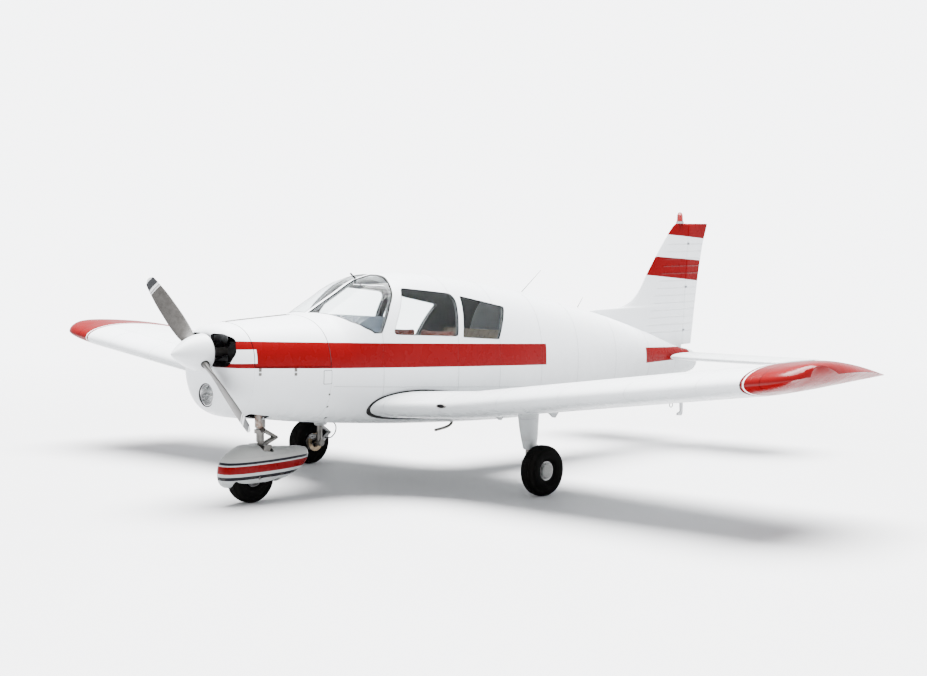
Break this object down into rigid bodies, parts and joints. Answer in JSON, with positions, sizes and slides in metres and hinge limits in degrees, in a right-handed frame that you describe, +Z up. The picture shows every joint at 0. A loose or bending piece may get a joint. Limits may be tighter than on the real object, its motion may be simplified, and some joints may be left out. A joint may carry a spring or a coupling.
{
  "type": "light aircraft",
  "caption": "Low-wing light aircraft with a nose propeller, an enclosed cabin, an all-moving tailplane and fixed tricycle landing gear.",
  "frame": {"origin": "middle of the bounding box in plan, on the ground under the tyres", "axes": "+X to the aircraft's left, -Y forward along the nose, +Z up"},
  "size_m": [9.2, 7.1516, 2.4554],
  "materials": {
    "white_paint": "gloss white paint on aluminium sheet",
    "red_paint": "gloss red paint on moulded glass fibre",
    "grey_paint": "grey paint on forged aluminium",
    "steel": "painted and bare steel",
    "alloy": "cast alloy",
    "iron": "engine castings",
    "tyre_rubber": "black tyre rubber",
    "glass": "clear window sheet",
    "cloth": "seat cloth",
    "dark_plastic": "matte",
    "lamp_red": "red lamp glass"
  },
  "bodies": {
    "airframe": {"beacon": "lamp_red", "cabin": "white_paint", "cabin_floor": "dark_plastic", "cowl_hinge_strip": "white_paint", "cowl_lower": "white_paint", "cowl_nose": "white_paint", "engine_block": "iron", "exhaust_pipe": "steel", "fin": "white_paint", "instrument_panel": "dark_plastic", "landing_light": "glass", "leg_fairing_left": "white_paint", "leg_fairing_right": "white_paint", "main_leg_left": "steel", "main_leg_right": "steel", "nose_leg": "steel", "rear_seat": "cloth", "seat_frame_left": "steel", "seat_frame_right": "steel", "seat_left": "cloth", "seat_right": "cloth", "tail_cone": "white_paint", "window_front_left": "glass", "window_rear_left": "glass", "window_rear_right": "glass", "windshield_left": "glass", "windshield_right": "glass", "wing_left": "white_paint", "wing_right": "white_paint", "wing_tip_left": "red_paint", "wing_tip_right": "red_paint", "yoke_left": "dark_plastic", "yoke_right": "dark_plastic"},
    "propeller_assembly": {"propeller": "grey_paint", "spinner": "grey_paint"},
    "nose_steering": {"nose_fork": "steel", "nose_fairing": "white_paint"},
    "nose_wheel": {"wheel_nose": "alloy", "tyre_nose": "tyre_rubber"},
    "left_wheel": {"wheel_left": "alloy", "tyre_left": "tyre_rubber"},
    "right_wheel": {"wheel_right": "alloy", "tyre_right": "tyre_rubber"},
    "left_flap": {"flap_left": "white_paint"},
    "right_flap": {"flap_right": "white_paint"},
    "left_aileron": {"aileron_left": "white_paint"},
    "right_aileron": {"aileron_right": "white_paint"},
    "rudder_body": {"rudder": "white_paint"},
    "stabilator_body": {"stabilator": "white_paint"},
    "left_tab": {"tab_left": "white_paint"},
    "right_tab": {"tab_right": "white_paint"},
    "door_body": {"cabin_door": "white_paint", "door_window": "glass"},
    "left_cowl_door": {"cowl_door_left": "white_paint"},
    "right_cowl_door": {"cowl_door_right": "white_paint"}
  },
  "joints": [
    {"name": "propeller_spin", "type": "hinge", "parent": "airframe", "child": "propeller_assembly", "pos_m": [0, -3.306, 1.28], "axis": [0, -1, 0], "continuous": true},
    {"name": "rudder_turn", "type": "hinge", "parent": "airframe", "child": "rudder_body", "pos_m": [0, 3.14666, 1.5], "axis": [0, 0.0999, 0.995], "range_deg": [-27, 27]},
    {"name": "nose_steer", "type": "hinge", "parent": "airframe", "child": "nose_steering", "pos_m": [0, -2.666, 0.5], "axis": [0, 0, 1], "range_deg": [-22, 22]},
    {"name": "nose_wheel_spin", "type": "hinge", "parent": "nose_steering", "child": "nose_wheel", "pos_m": [0, -2.776, 0.217], "axis": [1, 0, 0], "continuous": true},
    {"name": "left_wheel_spin", "type": "hinge", "parent": "airframe", "child": "left_wheel", "pos_m": [1.52, -0.821, 0.217], "axis": [1, 0, 0], "continuous": true},
    {"name": "right_wheel_spin", "type": "hinge", "parent": "airframe", "child": "right_wheel", "pos_m": [-1.52, -0.821, 0.217], "axis": [1, 0, 0], "continuous": true},
    {"name": "left_flap_hinge", "type": "hinge", "parent": "airframe", "child": "left_flap", "pos_m": [0.66, -0.312, 0.65615], "axis": [-0.9912, 0, -0.1322], "range_deg": [0, 40]},
    {"name": "left_aileron_hinge", "type": "hinge", "parent": "airframe", "child": "left_aileron", "pos_m": [2.145, -0.312, 0.85454], "axis": [0.99, 0, 0.1414], "range_deg": [-15, 30]},
    {"name": "right_flap_hinge", "type": "hinge", "parent": "airframe", "child": "right_flap", "pos_m": [-0.66, -0.312, 0.65615], "axis": [-0.9912, 0, 0.1322], "range_deg": [0, 40]},
    {"name": "right_aileron_hinge", "type": "hinge", "parent": "airframe", "child": "right_aileron", "pos_m": [-2.145, -0.312, 0.85454], "axis": [0.99, 0, -0.1414], "range_deg": [-15, 30]},
    {"name": "stabilator_pitch", "type": "hinge", "parent": "airframe", "child": "stabilator_body", "pos_m": [0, 2.894, 0.935], "axis": [1, 0, 0], "range_deg": [-2, 18]},
    {"name": "left_tab_hinge", "type": "hinge", "parent": "stabilator_body", "child": "left_tab", "pos_m": [0.3, 3.334, 0.935], "axis": [1, 0, 0], "range_deg": [-2, 12.6]},
    {"name": "right_tab_hinge", "type": "hinge", "parent": "stabilator_body", "child": "right_tab", "pos_m": [-0.3, 3.334, 0.935], "axis": [1, 0, 0], "range_deg": [-2, 12.6]},
    {"name": "cabin_door_hinge", "type": "hinge", "parent": "airframe", "child": "door_body", "pos_m": [-0.58, -1.725, 1.1], "axis": [0, 0, 1], "range_deg": [0, 80]},
    {"name": "left_cowl_door_hinge", "type": "hinge", "parent": "airframe", "child": "left_cowl_door", "pos_m": [0.024, -2.6935, 1.537], "axis": [0, -0.9986, -0.0538], "range_deg": [0, 80]},
    {"name": "right_cowl_door_hinge", "type": "hinge", "parent": "airframe", "child": "right_cowl_door", "pos_m": [-0.024, -2.6935, 1.537], "axis": [0, 0.9986, 0.0538], "range_deg": [0, 80]}
  ],
  "couplings": [
    {"joint": "nose_steer", "follows": "rudder_turn", "ratio": -0.8148},
    {"joint": "right_flap_hinge", "follows": "left_flap_hinge", "ratio": 1},
    {"joint": "left_tab_hinge", "follows": "stabilator_pitch", "ratio": 0.7},
    {"joint": "right_tab_hinge", "follows": "stabilator_pitch", "ratio": 0.7}
  ]
}
